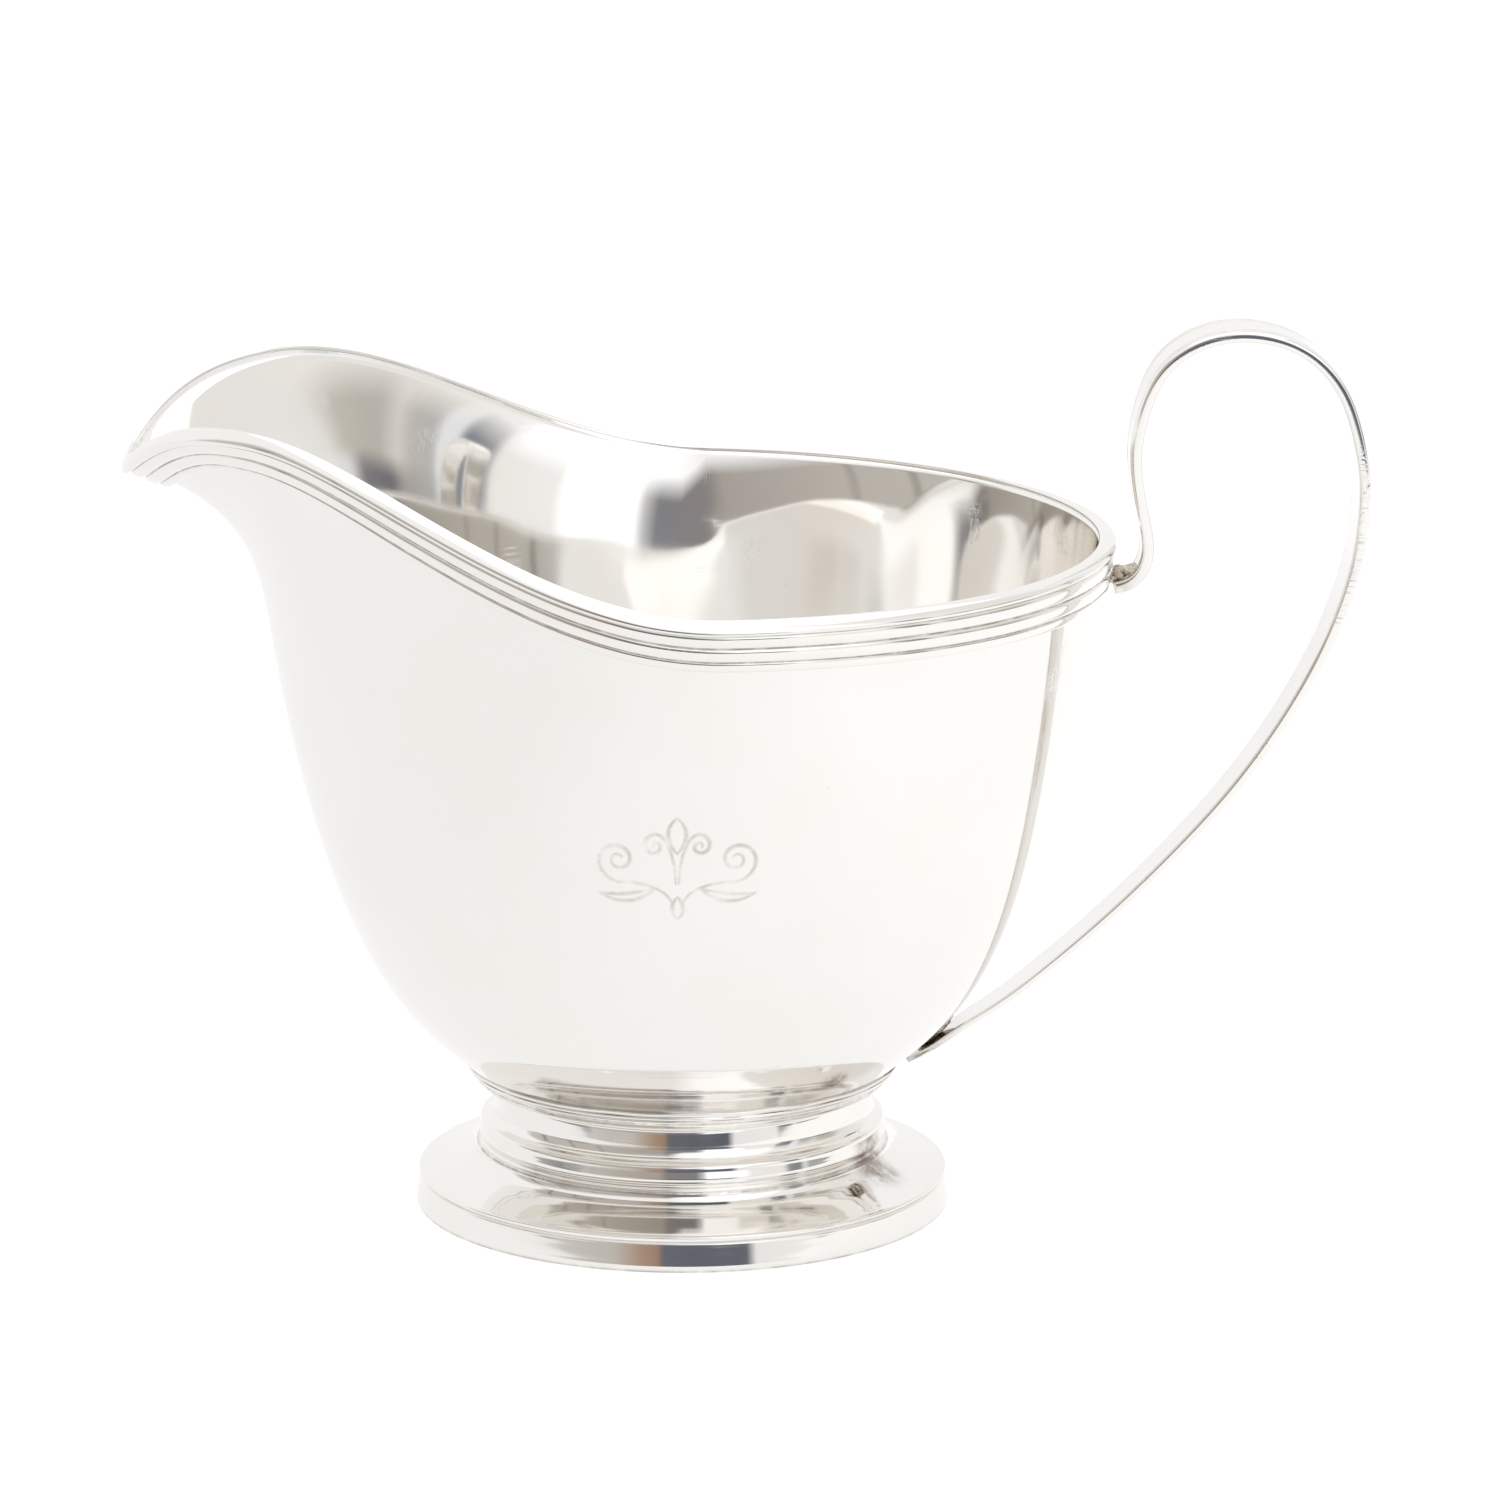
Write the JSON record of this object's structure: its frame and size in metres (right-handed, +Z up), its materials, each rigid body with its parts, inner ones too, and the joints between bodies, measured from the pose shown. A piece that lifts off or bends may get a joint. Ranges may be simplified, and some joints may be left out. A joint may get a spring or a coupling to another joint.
{
  "type": "cream jug",
  "caption": "Footed silver cream jug: round raised bowl drawn out into a broad spout, reeded rim, spun foot and a high looped strap handle, for pouring cream or milk at the table.",
  "frame": {"origin": "centre of the jug's bounding box at the height of the surface it stands on, a little behind the foot's axis", "axes": "+Z up; +X from the spout towards the handle, along the jug's longest side; +Y across the bowl, away from the side that carries the ornament"},
  "size_m": [0.1378, 0.0994, 0.0996],
  "materials": {
    "bowl_silver": "polished sterling silver with fine scratches",
    "rim_silver": "polished sterling silver, dark in the grooves",
    "foot_silver": "worn sterling silver with spots of tarnish",
    "handle_silver": "handled sterling silver with small nicks",
    "tarnished_solder": "silver solder, blackened and rough"
  },
  "bodies": {
    "root": {"body": "bowl_silver", "rim_moulding": "rim_silver", "foot": "foot_silver", "foot_base_ring": "foot_silver", "foot_solder_seam": "tarnished_solder", "handle": "handle_silver", "upper_handle_solder": "tarnished_solder", "lower_handle_solder": "tarnished_solder"}
  },
  "joints": []
}
